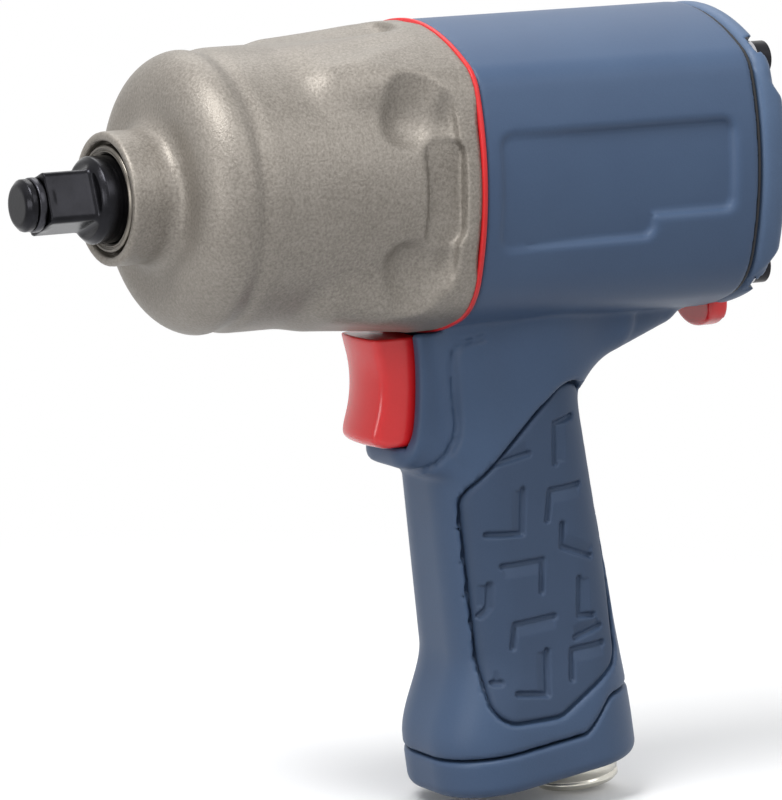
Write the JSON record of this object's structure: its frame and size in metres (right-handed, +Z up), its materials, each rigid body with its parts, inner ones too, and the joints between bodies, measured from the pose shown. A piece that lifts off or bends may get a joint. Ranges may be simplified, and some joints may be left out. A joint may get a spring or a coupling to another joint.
{
  "type": "impact wrench",
  "caption": "Pistol-grip air impact wrench with a square drive, a round hammer case, a raked handle, a sliding trigger and a rear reversing lever.",
  "frame": {"origin": "on the spindle axis, in the plane of the shoulder behind the square drive", "axes": "+X along the spindle and out of the square drive, +Y to the left side of the tool, +Z up, away from the handle"},
  "size_m": [0.1932, 0.0738, 0.1956],
  "materials": {
    "case_metal": "bead-blasted titanium casting, warm grey, fine grain",
    "black_steel": "hardened steel, black oxide, polished",
    "bright_steel": "ground steel",
    "dark_steel": "heat-treated steel, satin",
    "bronze": "sintered bronze",
    "alloy": "machined aluminium",
    "housing_blue": "glass-filled nylon, slate blue, fine matt texture",
    "cover_blue": "moulded end cover, slate blue, a little lighter",
    "panel_blue": "overmoulded soft grip, slate blue",
    "red_plastic": "moulded nylon, bright red, satin gloss",
    "red_gasket": "red gasket sheet",
    "gasket_dark": "dark gasket sheet",
    "seal_rubber": "black nitrile rubber",
    "vane_fibre": "laminated phenolic vane",
    "felt": "porous exhaust felt",
    "nickel": "nickel-plated steel, satin"
  },
  "bodies": {
    "housing": {"hammer_case": "case_metal", "anvil_bushing": "bronze", "case_gasket": "red_gasket", "clamp_washer": "bright_steel", "front_end_plate": "alloy", "front_bearing_outer": "bright_steel", "motor_cylinder": "bright_steel", "cylinder_dowel": "bright_steel", "rear_end_plate": "alloy", "rear_bearing_outer": "bright_steel", "motor_housing": "housing_blue", "end_cover_gasket": "gasket_dark", "end_cover": "cover_blue", "through_bolts": "dark_steel", "bolt_washers": "bright_steel", "grip_panel_left": "panel_blue", "grip_panel_right": "panel_blue", "trigger_bushing": "bronze", "stem_o_ring": "seal_rubber", "valve_seat": "bronze", "throttle_spring": "bright_steel", "detent_ball": "bright_steel", "detent_spring": "bright_steel", "exhaust_muffler": "felt", "base_cap": "housing_blue", "base_cap_screws": "dark_steel", "inlet_bushing": "nickel", "inlet_o_ring": "seal_rubber", "inlet_screen": "bright_steel"},
    "spindle": {"anvil": "black_steel", "socket_retainer_ring": "black_steel", "retainer_o_ring": "seal_rubber"},
    "rotor": {"rotor": "bright_steel", "rotor_vanes": "vane_fibre", "front_bearing_inner": "bright_steel", "rear_bearing_inner": "bright_steel", "hammer_frame": "dark_steel", "hammer_pins": "bright_steel"},
    "front_hammer": {"hammer_front": "dark_steel"},
    "rear_hammer": {"hammer_rear": "dark_steel"},
    "front_balls": {"front_bearing_balls": "bright_steel"},
    "rear_balls": {"rear_bearing_balls": "bright_steel"},
    "trigger": {"trigger": "red_plastic", "trigger_stem": "bright_steel", "throttle_valve": "seal_rubber"},
    "lever": {"reverse_lever": "red_plastic", "reverse_valve": "bright_steel", "lever_screw": "bright_steel"}
  },
  "joints": [
    {"name": "rotor_spin", "type": "hinge", "parent": "housing", "child": "rotor", "pos_m": [-0.12, 0, 0], "axis": [1, 0, 0], "continuous": true},
    {"name": "spindle_spin", "type": "hinge", "parent": "housing", "child": "spindle", "pos_m": [0, 0, 0], "axis": [1, 0, 0], "continuous": true},
    {"name": "front_hammer_rock", "type": "hinge", "parent": "rotor", "child": "front_hammer", "pos_m": [-0.044, 0.0235, 0], "axis": [1, 0, 0], "range_deg": [-2.5, 2.5]},
    {"name": "rear_hammer_rock", "type": "hinge", "parent": "rotor", "child": "rear_hammer", "pos_m": [-0.0595, -0.0235, 0], "axis": [1, 0, 0], "range_deg": [-2.5, 2.5]},
    {"name": "front_balls_orbit", "type": "hinge", "parent": "housing", "child": "front_balls", "pos_m": [-0.0948, 0, 0], "axis": [1, 0, 0], "continuous": true},
    {"name": "rear_balls_orbit", "type": "hinge", "parent": "housing", "child": "rear_balls", "pos_m": [-0.151, 0, 0], "axis": [1, 0, 0], "continuous": true},
    {"name": "trigger_pull", "type": "slide", "parent": "housing", "child": "trigger", "axis": [-1, 0, 0], "range_m": [0, 0.006], "stiffness_N_per_m": 700, "springref_m": -0.003, "deforming": ["throttle_spring"]},
    {"name": "lever_turn", "type": "hinge", "parent": "housing", "child": "lever", "pos_m": [-0.1726, 0, -0.032], "axis": [1, 0, 0], "range_deg": [-20, 20]}
  ],
  "couplings": [
    {"joint": "spindle_spin", "follows": "rotor_spin", "ratio": 1},
    {"joint": "front_balls_orbit", "follows": "rotor_spin", "ratio": 0.4},
    {"joint": "rear_balls_orbit", "follows": "rotor_spin", "ratio": 0.4}
  ]
}
